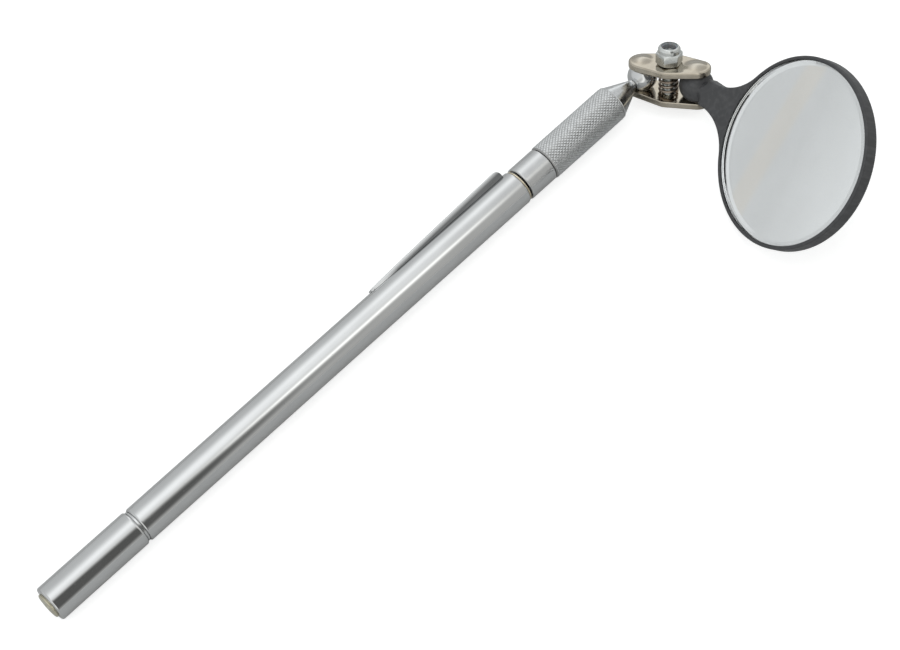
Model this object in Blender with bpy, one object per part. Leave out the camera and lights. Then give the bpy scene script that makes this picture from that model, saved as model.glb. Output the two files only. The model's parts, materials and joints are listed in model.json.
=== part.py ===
"""Telescoping inspection mirror: a round mirror on a two-ball clamp at the end of a telescopic handle.

The mirror lies on a flat surface at rest, telescope closed. It touches that surface with the butt of
its handle, with the lower clamp plate and with the rim of the mirror holder. The handle runs along +X,
butt to head, and rises by HANDLE_RISE. +Z is up.

All lengths are in millimetres and all angles in degrees, until place() turns them into metres. The
handle's stations are distances along its axis from the face of the end plug.
"""
from math import acos, asin, atan2, cos, hypot, pi, radians, sin, sqrt

import bmesh
import bpy
from mathutils import Vector

MM = 0.001

# ---------------------------------------------------------------- driving dimensions
ROUND = 32                       # facets round a turned piece
DISC = 48                        # facets round the mirror's discs
FINE = 24                        # facets round the balls, the dimples and their seats

# Handle
TUBE_R = 5.5                     # outside radius of the handle tube
TUBE_BORE = 4.9
CAP_R = 5.55
CAP_START = 0.8
CAP_END = 32.1
TUBE_START = 32.9
TUBE_END = 181.2
TUBE_EDGE = 0.56                 # rounding of the tube's ends
CAP_EDGE = 0.64
CAP_WALL = 1.4                   # end wall of the cap
PLUG_R = 3.95
PLUG_HOLE_R = 3.35
JOINER_REACH = (18.7, 40.7)      # stations of the threaded joiner inside cap and tube
JOINER_BORE = 3.4
BUSH_START = 172.7
FLANGE_R = 5.15                  # of the bush in the tube's mouth
FIT = 0.06                       # radial clearance of turned pieces in their bores

# Telescope: outside radius, wall, station of the base, station of the mouth
SECTIONS = (
    (4.5, 0.3, 42.7, 181.9),
    (3.8, 0.3, 44.7, 182.0),
    (3.1, 0.3, 46.7, 182.1),
)
ROD_R = 2.4
ROD_BORE = 1.5
ROD_START = 48.7
ROD_END = 212.5
BEAD = 0.5                       # length of the bead at the base of each section
BEAD_GAP = 0.1                   # its clearance in the next bore
MOUTH_R = 0.45                   # rounding of each section's mouth
FRICTION_BUSH = 8.0              # length of each split friction bush
SPLIT = 16.0                     # angle of the bush's slot

# Grip
COLLAR_START = 182.3
COLLAR_R = 5.45
SPIGOT_R = 4.56                  # the sleeve's spigot inside the collar
GRIP_START = 192.2
GRIP_END = 221.2
GRIP_R = 5.7                     # over the knurl
CONE_END = 229.5
CONE_TIP_R = 1.86
STUD_R = 1.75

# Clamp: two plates over two balls, drawn together by a nut on a stud
BALL_R = 4.5                     # rod ball
FAR_BALL_R = 5.2                 # holder ball
BALL_GAP = 0.1                   # clearance of a ball in its dimples
NECK_GAP = 0.05                  # clearance of a ball from the neck that carries it
NEAR_BALL = 234.4                # station of the rod ball's centre
BALL_PITCH = 16.8
STUD_X = 8.2                     # distance of the stud from the rod ball's centre
PLATE_GAP = 7.1                  # between the plates at the rod ball
SPLAY = 0.042                    # rise of each plate's faces towards the larger ball
PLATE = 2.0                      # plate thickness
LOBE_R = 4.2                     # plate outline round each ball
WAIST_HALF = 6.3                 # plate half-width across the stud
WAIST_R = 4.0
PLATE_CHAMFER = 0.3
DIMPLE_R = 6.35                  # outside radius of the dimples pressed for the rod ball
FAR_DIMPLE_R = 7.1
STUD_BODY_R = 2.0                # M4 stud
STUD_TOP = 10.2                  # above the clamp's middle plane
NUT_FLATS = 7.0
NUT_HEX = 3.7                    # height of the hexagon
NUT_HEIGHT = 5.6
NUT_COLLAR_R = 3.35              # collar over the nylon insert
NUT_MOUTH_R = 2.5
NUT_TURN = 26.0                  # angle of the hexagon round the stud
INSERT_R = 2.95                  # seat of the insert
SPRING_R = 2.65                  # mean radius of the clamp spring
SPRING_WIRE = 0.4
SPRING_TURNS = 4.75

# Mirror
HOLDER_R = 27.85
HOLDER_DEPTH = 4.3
ARM = 46.8                       # far ball's centre to the mirror's centre
ARM_HALF = 4.1                   # half the arm's width at its waist
ARM_WAIST = 7.9                  # distance of that waist from the ball's centre
ARM_START = 5.5                  # distance of the arm's flat end from the ball's centre
NECK_R = 2.8                     # round neck at the ball
NECK_FLARE = (                   # distance from the ball's centre, half-width, half-thickness
    (4.9, 3.1, 2.85),
    (5.5, 3.75, 2.6),
    (6.1, 4.0, 2.3),
    (7.0, 4.02, 2.14),
    (9.4, 4.02, 2.1),
)
LIP = 1.15                       # width of the rim round the glass
POCKET_FLOOR = -0.95             # above the middle of the holder's depth
HOLDER_EDGE = 0.6
GLASS_R = 26.55
GLASS_FRONT = 1.85
GLASS = 2.0
COATING = 0.12
PAD_R = 22.0
BEVEL = (1.8, 0.3)               # width and drop of the glass's bevel

# Pocket clip
CLIP_START = 126.4               # free end
CLIP_END = 179.2                 # root
CLIP_SHEET = 0.5
CLIP_HEIGHTS = (6.05, 7.75)      # outer face over the handle's axis, at the free end and at the root
CLIP_NOSE = 1.6                  # length of the rounded root
CLIP_HALF = (1.9, 2.3)           # half-width at the free end and beyond CLIP_FLARE
CLIP_FLARE = 10.0
CLIP_SOLID = 14.0                # length of the free end that isn't hollow
CLIP_TURN = -64.0                # angle of the clip round the handle
TAB_X = (177.3, 178.3)           # stations of the clip's tab and its slot
TAB_HALF = 1.3

# Rest pose
HANDLE_RISE = 0.394
GRIP_TURN = -13.58               # turn of the grip and head round the handle's axis
CLAMP_TILT = 18.5                # handle's axis out of the clamp's middle plane
CLAMP_SWING = -62.3              # clamp round its own normal, at the rod ball
ARM_SWING = -36.8                # arm round the clamp's normal, at the holder ball
ARM_ROLL = 59.65                 # holder round the arm's axis


# ---------------------------------------------------------------- scene helpers
def clear_scene():
    for item in list(bpy.data.objects):
        bpy.data.objects.remove(item, do_unlink=True)


def material(name, colour, metallic, roughness):
    result = bpy.data.materials.new(name)
    result.use_nodes = True
    shader = result.node_tree.nodes["Principled BSDF"]
    shader.inputs["Base Color"].default_value = (*colour, 1.0)
    shader.inputs["Metallic"].default_value = metallic
    shader.inputs["Roughness"].default_value = roughness
    return result


def empty(name, parent=None, location=(0, 0, 0), axis="X", turn=0.0):
    result = bpy.data.objects.new(name, None)
    bpy.context.scene.collection.objects.link(result)
    result.parent = parent
    result.location = Vector(location) * MM
    result.rotation_euler["XYZ".index(axis)] = radians(turn)
    return result


def place(name, vertices, faces, parent, finish, crease=35.0):
    """Make one closed body from vertices in millimetres, with its faces pointing out."""
    mesh = bpy.data.meshes.new(name)
    mesh.from_pydata([Vector(v) * MM for v in vertices], [], faces)
    body = bmesh.new()
    body.from_mesh(mesh)
    bmesh.ops.recalc_face_normals(body, faces=body.faces)
    if body.calc_volume(signed=True) < 0:
        bmesh.ops.reverse_faces(body, faces=body.faces)
    body.to_mesh(mesh)
    body.free()
    mesh.shade_smooth()
    mesh.set_sharp_from_angle(angle=radians(crease))
    result = bpy.data.objects.new(name, mesh)
    bpy.context.scene.collection.objects.link(result)
    result.parent = parent
    if finish:
        mesh.materials.append(finish)
    return result


def boolean(target, cutter, operation):
    """Join or cut target by a guide object, which the build leaves out."""
    cutter.hide_render = True
    cutter.display_type = "WIRE"
    step = target.modifiers.new(cutter.name, "BOOLEAN")
    step.operation = operation
    step.solver = "EXACT"
    step.object = cutter


# ---------------------------------------------------------------- shape helpers
def skin(rings, loop=False):
    """Join rings of points into a surface. A ring of one point is a pole; open ends are capped."""
    vertices = [point for ring in rings for point in ring]
    starts = [sum(len(ring) for ring in rings[:i]) for i in range(len(rings))]
    faces = []
    pairs = list(zip(range(len(rings)), range(1, len(rings))))
    if loop:
        pairs.append((len(rings) - 1, 0))
    for i, j in pairs:
        count = max(len(rings[i]), len(rings[j]))
        for k in range(count):
            here = [starts[i] + k % len(rings[i]), starts[i] + (k + 1) % len(rings[i])]
            there = [starts[j] + (k + 1) % len(rings[j]), starts[j] + k % len(rings[j])]
            faces.append(tuple(dict.fromkeys(here + there)))
    if not loop:
        for i in (0, len(rings) - 1):
            if len(rings[i]) > 1:
                faces.append(tuple(range(starts[i], starts[i] + len(rings[i]))))
    return vertices, faces


def ring(station, radius, axis, count=ROUND, centre=(0, 0)):
    """Points of a circle round an axis, at a distance along it. Radius may be a function of angle."""
    if not callable(radius) and radius == 0:
        return [axis_point(station, 0, 0, axis, centre)]
    points = []
    for k in range(count):
        angle = 2 * pi * k / count
        reach = radius(angle) if callable(radius) else radius
        points.append(axis_point(station, reach * cos(angle), reach * sin(angle), axis, centre))
    return points


def axis_point(station, across, up, axis, centre):
    if axis == "X":
        return (station, across + centre[0], up + centre[1])
    return (across + centre[0], up + centre[1], station)


def turned(name, outline, parent, finish, axis="X", count=ROUND, centre=(0, 0)):
    """Turn an outline of (station, radius) round an axis. Without poles it is a closed loop."""
    rings = [ring(s, r, axis, count, centre) for s, r in outline]
    loop = outline[0][1] != 0
    return place(name, *skin(rings, loop), parent, finish)


def arc(centre, radius, start, end, steps):
    """Points (along, across) of an arc; angles run from the first coordinate to the second."""
    points = []
    for k in range(steps + 1):
        angle = radians(start + (end - start) * k / steps)
        points.append((centre[0] + radius * cos(angle), centre[1] + radius * sin(angle)))
    return points


# ---------------------------------------------------------------- handle
def tube_outline(start, end, outer, inner, edge, lip=None):
    """A tube with both outer edges rounded."""
    outline = [(start, inner if lip is None else lip)]
    outline += arc((start + edge, outer - edge), edge, 180, 90, 3)
    outline += arc((end - edge, outer - edge), edge, 90, 0, 3)
    outline.append((end, inner))
    return outline


def make_handle(root, metals):
    tube = turned("handle_tube", tube_outline(TUBE_START, TUBE_END, TUBE_R, TUBE_BORE, TUBE_EDGE),
                  root, metals["chrome"])
    inside = CAP_START + CAP_WALL
    cap = tube_outline(CAP_START, CAP_END, CAP_R, TUBE_BORE, CAP_EDGE, lip=PLUG_HOLE_R)
    cap += [(inside, TUBE_BORE), (inside, PLUG_HOLE_R)]
    turned("end_cap", cap, root, metals["chrome"])

    shank = PLUG_HOLE_R - FIT
    under = CAP_START - FIT
    head = PLUG_R - 0.2
    spread = (inside + FIT, inside + FIT + 1.0)  # the shank's end, opened out behind the wall
    turned("end_plug", [(0, 0), (0, head), (0.2, PLUG_R), (0.55, PLUG_R), (under, head), (under, shank),
                        (spread[0], shank), (spread[0], 4.2), (spread[1], 4.2), (spread[1], 0)],
           root, metals["nickel"])

    start, end = JOINER_REACH
    thread = TUBE_BORE - FIT
    lead = 0.3
    left, right = CAP_END + 0.1, TUBE_START - 0.1
    collar = thread + 0.2                        # shoulder between cap and tube
    turned("cap_joiner", [(start, JOINER_BORE), (start, thread - lead), (start + lead, thread),
                          (left, thread), (left, collar), (right, collar), (right, thread),
                          (end - lead, thread), (end, thread - lead), (end, JOINER_BORE)],
           root, metals["chrome"])

    bore = SECTIONS[0][0] + FIT
    seat = TUBE_END + 0.05
    face = seat + 0.5
    turned("mouth_bush", [(BUSH_START, bore), (BUSH_START, thread), (seat, thread), (seat, FLANGE_R),
                          (face - 0.1, FLANGE_R), (face, FLANGE_R - 0.12), (face, bore)],
           root, metals["brass"])
    return tube


def clip_section(station, top, half, rise, corner=0.35, steps=6):
    """A slice of the clip: its underside follows the tube and its top corners are rounded."""
    base = TUBE_R + rise
    spread = asin(half / base)
    points = []
    for k in range(steps + 1):
        angle = spread - 2 * spread * k / steps
        points.append((station, base * sin(angle), base * cos(angle)))
    for side, start in ((-1, 180), (1, 90)):
        for along, up in arc((side * (half - corner), top - corner), corner, start, start - 90, 3):
            points.append((station, along, up))
    return points


def clip_height(station):
    """Height of the clip's outer face over the handle's axis: a long wedge with a rounded nose."""
    low, high = CLIP_HEIGHTS
    crown = CLIP_END - CLIP_NOSE
    along = (station - CLIP_START) / (crown - CLIP_START)
    if along <= 1:
        return low + (high - low) * along ** 0.8
    foot = low + 0.2
    past = (station - crown) / CLIP_NOSE
    return foot + (high - foot) * sqrt(max(0.0, 1 - past ** 2))


def between(start, end, steps):
    return [start + (end - start) * k / steps for k in range(steps + 1)]


def make_clip(root, tube, metals):
    turn = empty("clip_turn", root, axis="X", turn=CLIP_TURN)
    shift = Vector((TAB_X[1], 0, TUBE_R))
    pivot = empty("clip_pivot", turn, location=shift)

    def local(points):
        return [Vector(p) - shift for p in points]

    def half_width(station):
        narrow, wide = CLIP_HALF
        return narrow + (wide - narrow) * min(1.0, (station - CLIP_START) / CLIP_FLARE)

    crown = CLIP_END - CLIP_NOSE
    stations = between(CLIP_START, crown, 10) + between(crown, CLIP_END, 5)[1:]
    body = [local(clip_section(x, clip_height(x), half_width(x), FIT)) for x in stations]
    clip = place("pocket_clip", *skin(body), pivot, metals["chrome"])
    hollow = []
    for x in between(CLIP_START + CLIP_SOLID, crown - CLIP_NOSE, 8):
        top = clip_height(x) - CLIP_SHEET
        hollow.append(local(clip_section(x, top, half_width(x) - CLIP_SHEET, -1.0, corner=0.15)))
    boolean(clip, place("clip_hollow", *skin(hollow), pivot, None), "DIFFERENCE")

    def block(low, high, half, bottom, top):
        return skin([local([(x, -half, bottom), (x, half, bottom), (x, half, top), (x, -half, top)])
                     for x in (low, high)])

    low, high = TAB_X
    tab = block(low, high, TAB_HALF, TUBE_BORE + 0.1, TUBE_R + 0.6)
    boolean(clip, place("clip_tab", *tab, pivot, None), "UNION")
    room = 0.3                                   # round the tab in its slot
    slot = block(low - room, high + room, TAB_HALF + room, TUBE_BORE - 1, TUBE_R + 1)
    boolean(tube, place("tab_slot", *slot, pivot, None), "DIFFERENCE")


# ---------------------------------------------------------------- telescope
def friction_bush(name, start, inner, outer, root, metals):
    """A spring bush, split along its length."""
    count = 28
    end = start + FRICTION_BUSH
    corners = ((start, inner), (start, outer), (end, outer), (end, inner))
    slices = []
    for k in range(count + 1):
        angle = radians(SPLIT / 2 + (360 - SPLIT) * k / count)
        slices.append([(x, r * cos(angle), r * sin(angle)) for x, r in corners])
    return place(name, *skin(slices), root, metals["bronze"])


def make_telescope(root, grip, metals):
    bore = TUBE_BORE
    for i, (outer, wall, base, mouth) in enumerate(SECTIONS, 1):
        inner = outer - wall
        following = SECTIONS[i][0] if i < len(SECTIONS) else ROD_R
        lip = following + FIT
        bead = bore - BEAD_GAP
        outline = [(base, inner), (base, bead), (base + BEAD, bead), (base + BEAD, outer)]
        outline += arc((mouth - MOUTH_R, outer - MOUTH_R), MOUTH_R, 90, 0, 2)
        outline += [(mouth, lip), (mouth - wall, lip), (mouth - wall - 0.35, inner)]
        turned("telescope_section_%d" % i, outline, root, metals["chrome"])
        friction_bush("friction_bush_%d" % i, base + BEAD + 0.1, outer + 0.05, bore - FIT, root, metals)
        bore = inner
    bead = bore - BEAD_GAP
    turned("telescope_rod", [(ROD_START, ROD_BORE), (ROD_START, bead), (ROD_START + BEAD, bead),
                             (ROD_START + BEAD, ROD_R), (ROD_END, ROD_R), (ROD_END, ROD_BORE)],
           grip, metals["chrome"])
    friction_bush("friction_bush_4", ROD_START + BEAD + 0.1, ROD_R + 0.05, bore - FIT, root, metals)


# ---------------------------------------------------------------- grip
def make_grip(grip, metals):
    wall_end = COLLAR_START + 1.2                # the collar's inner shoulder on the rod
    face = GRIP_START - 0.3
    bore = ROD_R + FIT
    edge = 0.3
    recess = SPIGOT_R + FIT
    turned("sleeve_collar", [(COLLAR_START, bore), (COLLAR_START, COLLAR_R - edge),
                             (COLLAR_START + edge, COLLAR_R), (face - edge, COLLAR_R),
                             (face, COLLAR_R - edge), (face, recess), (wall_end, recess), (wall_end, bore)],
           grip, metals["chrome"])
    stud_bore = STUD_R + 0.05
    shoulder = ROD_END + 0.2
    spigot = wall_end + 0.2
    turned("knurled_sleeve", [(spigot, bore), (spigot, SPIGOT_R), (GRIP_START, SPIGOT_R),
                              (GRIP_START, GRIP_R - 0.5), (GRIP_START + 0.5, GRIP_R),
                              (GRIP_END - 0.4, GRIP_R), (GRIP_END, GRIP_R - 0.25),
                              (CONE_END, CONE_TIP_R), (CONE_END, stud_bore), (shoulder, stud_bore),
                              (shoulder, bore)], grip, metals["satin"])
    seat = BALL_R + NECK_GAP
    rim = 180 - asin(STUD_R / seat) * 180 / pi
    hollow = arc((NEAR_BALL, 0), seat, rim, 180, 4)
    hollow[-1] = (NEAR_BALL - seat, 0)
    start = shoulder + 1.0
    turned("ball_stud", [(start, 0), (start, STUD_R)] + hollow, grip, metals["satin"])


def sphere_outline(radius):
    outline = arc((0, 0), radius, 180, 0, FINE // 2)
    outline[0] = (-radius, 0)
    outline[-1] = (radius, 0)
    return outline


def ball(name, radius, parent, finish):
    return turned(name, sphere_outline(radius), parent, finish, count=FINE)


# ---------------------------------------------------------------- clamp
def plate_outline(inset):
    """Rounded diamond: a lobe over each ball and a rounded corner on each side of the stud."""
    corners = ((BALL_PITCH, 0, LOBE_R), (STUD_X, WAIST_HALF - WAIST_R, WAIST_R), (0, 0, LOBE_R),
               (STUD_X, WAIST_R - WAIST_HALF, WAIST_R))
    normals = []
    for (x0, y0, r0), (x1, y1, r1) in zip(corners, corners[1:] + corners[:1]):
        run = hypot(x1 - x0, y1 - y0)
        normals.append(atan2(y1 - y0, x1 - x0) - pi / 2 + asin((r1 - r0) / run))
    points = []
    for i, (x, y, radius) in enumerate(corners):
        start, end = normals[i - 1], normals[i]
        while end < start:
            end += 2 * pi
        steps = 9 if radius == LOBE_R else 3
        points += arc((x, y), radius - inset, start * 180 / pi, end * 180 / pi, steps)
    return points


def make_plate(name, side, clamp, metals):
    """One clamp plate; side is +1 above the balls and -1 below them."""
    inner = PLATE_GAP / 2
    levels = ((0, PLATE_CHAMFER), (PLATE_CHAMFER, 0), (PLATE - PLATE_CHAMFER, 0), (PLATE, PLATE_CHAMFER))
    rings = [[(x, y, side * (inner + up + SPLAY * x)) for x, y in plate_outline(inset)]
             for up, inset in levels]
    plate = place(name, *skin(rings), clamp, metals["plate"])
    tools = []
    for x, ball_r, dimple_r in ((0, BALL_R, DIMPLE_R), (BALL_PITCH, FAR_BALL_R, FAR_DIMPLE_R)):
        foot = inner + PLATE + SPLAY * x - 0.5
        reach = acos(foot / dimple_r) * 180 / pi
        cap = arc((0, 0), dimple_r, 90 - reach, 90, 4)
        dome = [(side * foot, 0)] + [(side * up, out) for out, up in cap[:-1]] + [(side * dimple_r, 0)]
        tools.append(("dome", x, dome, "UNION"))
        tools.append(("seat", x, sphere_outline(ball_r + BALL_GAP), "DIFFERENCE"))
    low, high = sorted((side * (inner - 1), side * (inner + PLATE + 2)))
    hole = [(low, 0), (low, STUD_BODY_R + FIT), (high, STUD_BODY_R + FIT), (high, 0)]
    tools.append(("hole", STUD_X, hole, "DIFFERENCE"))
    for label, x, outline, operation in sorted(tools, key=lambda tool: "dsh".index(tool[0][0])):
        guide = turned("%s_%s_%d" % (name, label, x), outline, clamp, None, axis="Z", count=FINE,
                       centre=(x, 0))
        boolean(plate, guide, operation)


def hexagon(flats):
    """Radius of a hexagon round its centre, as a function of angle; a corner lies on the first axis."""
    def radius(angle):
        return flats / 2 / cos((angle % (pi / 3)) - pi / 6)
    return radius


def make_fasteners(clamp, nut_turn, metals):
    reach = NUT_FLATS / sqrt(3)                  # the nut stands on the plate's higher side
    outer = PLATE_GAP / 2 + PLATE + SPLAY * (STUD_X + reach)
    middle = (STUD_X, 0)
    head = -outer - 0.05                         # underside of the stud's head, against the lower plate
    turned("clamp_stud", [(head - 1.25, 0), (head - 1.25, 1.15), (head - 0.3, 2.15), (head, 2.25),
                          (head, STUD_BODY_R), (STUD_TOP - 0.4, STUD_BODY_R),
                          (STUD_TOP, STUD_BODY_R - 0.4), (STUD_TOP, 0)],
           clamp, metals["zinc"], axis="Z", count=FINE, centre=middle)

    base = outer + 0.05
    shoulder = base + NUT_HEX
    top = outer + NUT_HEIGHT
    bore = STUD_BODY_R + FIT
    seat_end = shoulder - 0.3                    # end of the thread, start of the insert's seat
    lip = top - 0.35
    flat = hexagon(NUT_FLATS)
    corner = NUT_FLATS / sqrt(3)

    def chamfered(limit):
        return lambda angle: min(flat(angle), limit)

    levels = [(base, bore), (base, chamfered(corner - 0.45)), (base + 0.3, flat), (shoulder - 0.35, flat),
              (shoulder, chamfered(corner - 0.6)), (shoulder, NUT_COLLAR_R),
              (top - 0.8, NUT_COLLAR_R - 0.05), (top - 0.25, NUT_COLLAR_R - 0.35),
              (top, NUT_COLLAR_R - 0.8), (top, NUT_MOUTH_R), (lip, NUT_MOUTH_R), (lip, INSERT_R),
              (seat_end, INSERT_R), (seat_end, bore)]
    rings = [ring(s, r, "Z") for s, r in levels]
    place("lock_nut", *skin(rings, loop=True), nut_turn, metals["zinc"], crease=25)
    low = seat_end + 0.05
    high = lip - 0.05
    outside = INSERT_R - 0.05
    turned("nut_insert", [(low, bore), (low, outside), (high, outside), (high, bore)], nut_turn,
           metals["nylon"], axis="Z")


def make_spring(clamp, metals):
    """Compression spring round the stud; its two end turns lie against the plates."""
    per_turn = 14
    sides = 6
    gap = PLATE_GAP + 2 * SPLAY * (STUD_X - SPRING_R - SPRING_WIRE)
    height = gap - 2 * SPRING_WIRE - 0.1
    closed = 0.8                                 # turns wound nearly flat at each end
    end_rise = 2.05 * SPRING_WIRE / height       # share of the height that each end takes
    count = round(SPRING_TURNS * per_turn)
    slices = []
    for k in range(count + 1):
        turns = k / per_turn
        first = min(turns, closed) / closed
        last = max(turns - (SPRING_TURNS - closed), 0) / closed
        middle = min(max((turns - closed) / (SPRING_TURNS - 2 * closed), 0), 1)
        share = end_rise * (first + last) + (1 - 2 * end_rise) * middle
        angle = 2 * pi * turns
        section = []
        for j in range(sides):
            around = 2 * pi * j / sides
            reach = SPRING_R + SPRING_WIRE * cos(around)
            up = (share - 0.5) * height + SPRING_WIRE * sin(around)
            section.append((STUD_X + reach * cos(angle), reach * sin(angle), up))
        slices.append(section)
    place("clamp_spring", *skin(slices), clamp, metals["bronze"])


# ---------------------------------------------------------------- mirror
def holder_outline(inset):
    """Plan of arm and rim: the arm's waist runs through a hollow curve into the rim on each side."""
    fillet = ((ARM - ARM_WAIST) ** 2 + ARM_HALF ** 2 - HOLDER_R ** 2) / (2 * (HOLDER_R - ARM_HALF))
    centre = (ARM_WAIST, ARM_HALF + fillet)
    meet = atan2(centre[1], ARM_WAIST - ARM) * 180 / pi
    hollow = arc(centre, fillet + inset, -90, meet - 180, 6)
    rim = arc((ARM, 0), HOLDER_R - inset, meet, -meet, 40)
    side = [(ARM_START + inset, ARM_HALF - inset)] + hollow + rim[1:-1]
    lower = [(x, -y) for x, y in reversed([side[0]] + hollow)]
    return side + lower


def make_holder(roll, metals):
    half = HOLDER_DEPTH / 2
    edge = HOLDER_EDGE
    bend = 0.3 * edge                            # middle of the rounded edge
    levels = ((-half, edge), (-half + bend, bend), (-half + edge, 0), (half - edge, 0),
              (half - bend, bend), (half, edge))
    rings = [[(x, y, up) for x, y in holder_outline(inset)] for up, inset in levels]
    holder = place("mirror_holder", *skin(rings), roll, metals["plastic"])

    seat = FAR_BALL_R + NECK_GAP
    count = 20
    hollow = arc((0, 0), seat, 0, asin(NECK_R / seat) * 180 / pi, 3)
    slices = [ring(x, r, "X", count) for x, r in [(seat, 0)] + hollow[1:]]
    for station, wide, thick in NECK_FLARE:
        slices.append([(station, wide * cos(2 * pi * k / count), thick * sin(2 * pi * k / count))
                       for k in range(count)])
    boolean(holder, place("holder_neck", *skin(slices), roll, None), "UNION")
    pocket_r = HOLDER_R - LIP
    pocket = turned("holder_pocket", [(POCKET_FLOOR, 0), (POCKET_FLOOR, pocket_r), (half + 1, pocket_r),
                                      (half + 1, 0)], roll, None, axis="Z", count=DISC, centre=(ARM, 0))
    boolean(holder, pocket, "DIFFERENCE")


def disc_outline(top, bottom, radius):
    return [(top, 0), (top, radius), (bottom, radius), (bottom, 0)]


def make_mirror(roll, metals):
    width, drop = BEVEL
    back = GLASS_FRONT - GLASS
    coating = back - 0.05
    pad = coating - COATING - 0.05
    glass = [(GLASS_FRONT, 0), (GLASS_FRONT, GLASS_R - width), (GLASS_FRONT - drop, GLASS_R),
             (back, GLASS_R), (back, 0)]
    discs = (
        ("mirror_glass", glass, "glass"),
        ("silver_backing", disc_outline(coating, coating - COATING, GLASS_R - 0.1), "silver"),
        ("adhesive_pad", disc_outline(pad, POCKET_FLOOR + 0.06, PAD_R), "foam"),
    )
    for name, outline, finish in discs:
        turned(name, outline, roll, metals[finish], axis="Z", count=DISC, centre=(ARM, 0))


# ---------------------------------------------------------------- assembly
def stand_on_floor(root):
    """Move the whole mirror so that its lowest point is at height 0, under the middle of its box."""
    bpy.context.view_layer.update()
    graph = bpy.context.evaluated_depsgraph_get()
    points = []
    for item in bpy.data.objects:
        if item.type == "MESH" and not item.hide_render:
            shape = item.evaluated_get(graph)
            points += [shape.matrix_world @ v.co for v in shape.data.vertices]
    low = Vector([min(p[i] for p in points) for i in range(3)])
    high = Vector([max(p[i] for p in points) for i in range(3)])
    root.location -= Vector(((low.x + high.x) / 2, (low.y + high.y) / 2, low.z))


def build():
    clear_scene()
    metals = {
        "chrome": material("chrome", (0.62, 0.63, 0.64), 1.0, 0.08),
        "satin": material("satin_chrome", (0.55, 0.56, 0.57), 1.0, 0.28),
        "nickel": material("nickel", (0.60, 0.57, 0.50), 1.0, 0.2),
        "brass": material("brass", (0.70, 0.55, 0.30), 1.0, 0.25),
        "bronze": material("spring_bronze", (0.50, 0.42, 0.36), 1.0, 0.3),
        "plate": material("plate_nickel", (0.47, 0.44, 0.37), 1.0, 0.32),
        "zinc": material("zinc", (0.50, 0.52, 0.52), 1.0, 0.3),
        "nylon": material("nylon", (0.55, 0.58, 0.60), 0.0, 0.5),
        "plastic": material("black_plastic", (0.055, 0.057, 0.06), 0.0, 0.4),
        "glass": material("glass", (0.75, 0.80, 0.78), 0.0, 0.02),
        "silver": material("silver", (0.85, 0.86, 0.85), 1.0, 0.02),
        "foam": material("foam_tape", (0.75, 0.75, 0.72), 0.0, 0.9),
    }
    root = empty("assembly", axis="Y", turn=-HANDLE_RISE)
    tube = make_handle(root, metals)
    make_clip(root, tube, metals)
    grip = empty("grip_turn", root, axis="X", turn=GRIP_TURN)
    make_telescope(root, grip, metals)
    make_grip(grip, metals)

    tilt = empty("clamp_tilt", grip, location=(NEAR_BALL, 0, 0), axis="Y", turn=CLAMP_TILT)
    ball("rod_ball", BALL_R, tilt, metals["chrome"])
    clamp = empty("clamp_swing", tilt, axis="Z", turn=CLAMP_SWING)
    make_plate("upper_plate", 1, clamp, metals)
    make_plate("lower_plate", -1, clamp, metals)
    nut_turn = empty("nut_turn", clamp, location=(STUD_X, 0, 0), axis="Z", turn=NUT_TURN)
    make_fasteners(clamp, nut_turn, metals)
    make_spring(clamp, metals)

    arm = empty("arm_swing", clamp, location=(BALL_PITCH, 0, 0), axis="Z", turn=ARM_SWING)
    ball("holder_ball", FAR_BALL_R, arm, metals["plastic"])
    roll = empty("arm_roll", arm, axis="X", turn=ARM_ROLL)
    make_holder(roll, metals)
    make_mirror(roll, metals)
    stand_on_floor(root)


build()
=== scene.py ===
"""Looks of the telescoping inspection mirror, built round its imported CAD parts.

Lengths are in millimetres and angles in degrees until they reach Blender. Each piece is made in the
frame of the part it belongs to: handle, grip and clip run along X, the clamp's plates are square to Z,
and the mirror faces Z with its arm along X from the ball. Each mesh keeps the coordinates of that frame in
its LOCAL attribute, which the materials follow.
"""

import json
from math import asin, atan2, ceil, cos, hypot, pi, radians, sin, sqrt, tan

import bmesh
import bpy
from mathutils import Matrix, Vector


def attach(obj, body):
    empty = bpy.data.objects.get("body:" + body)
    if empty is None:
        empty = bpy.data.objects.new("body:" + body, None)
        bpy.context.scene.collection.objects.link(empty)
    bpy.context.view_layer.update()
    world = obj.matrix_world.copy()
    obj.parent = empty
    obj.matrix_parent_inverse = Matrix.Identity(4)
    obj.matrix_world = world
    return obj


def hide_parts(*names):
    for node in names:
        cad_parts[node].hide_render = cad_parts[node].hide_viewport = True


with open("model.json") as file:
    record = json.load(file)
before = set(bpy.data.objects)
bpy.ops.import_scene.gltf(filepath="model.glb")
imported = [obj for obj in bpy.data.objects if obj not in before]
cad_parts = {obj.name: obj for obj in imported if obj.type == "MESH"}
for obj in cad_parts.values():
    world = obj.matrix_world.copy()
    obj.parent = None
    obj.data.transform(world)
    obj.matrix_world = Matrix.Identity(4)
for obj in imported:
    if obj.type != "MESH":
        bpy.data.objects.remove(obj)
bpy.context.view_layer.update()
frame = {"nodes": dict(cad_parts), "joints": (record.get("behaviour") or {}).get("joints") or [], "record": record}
MM = 0.001
LOCAL = "local"  # mesh attribute: a point's place in its part's frame

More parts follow.
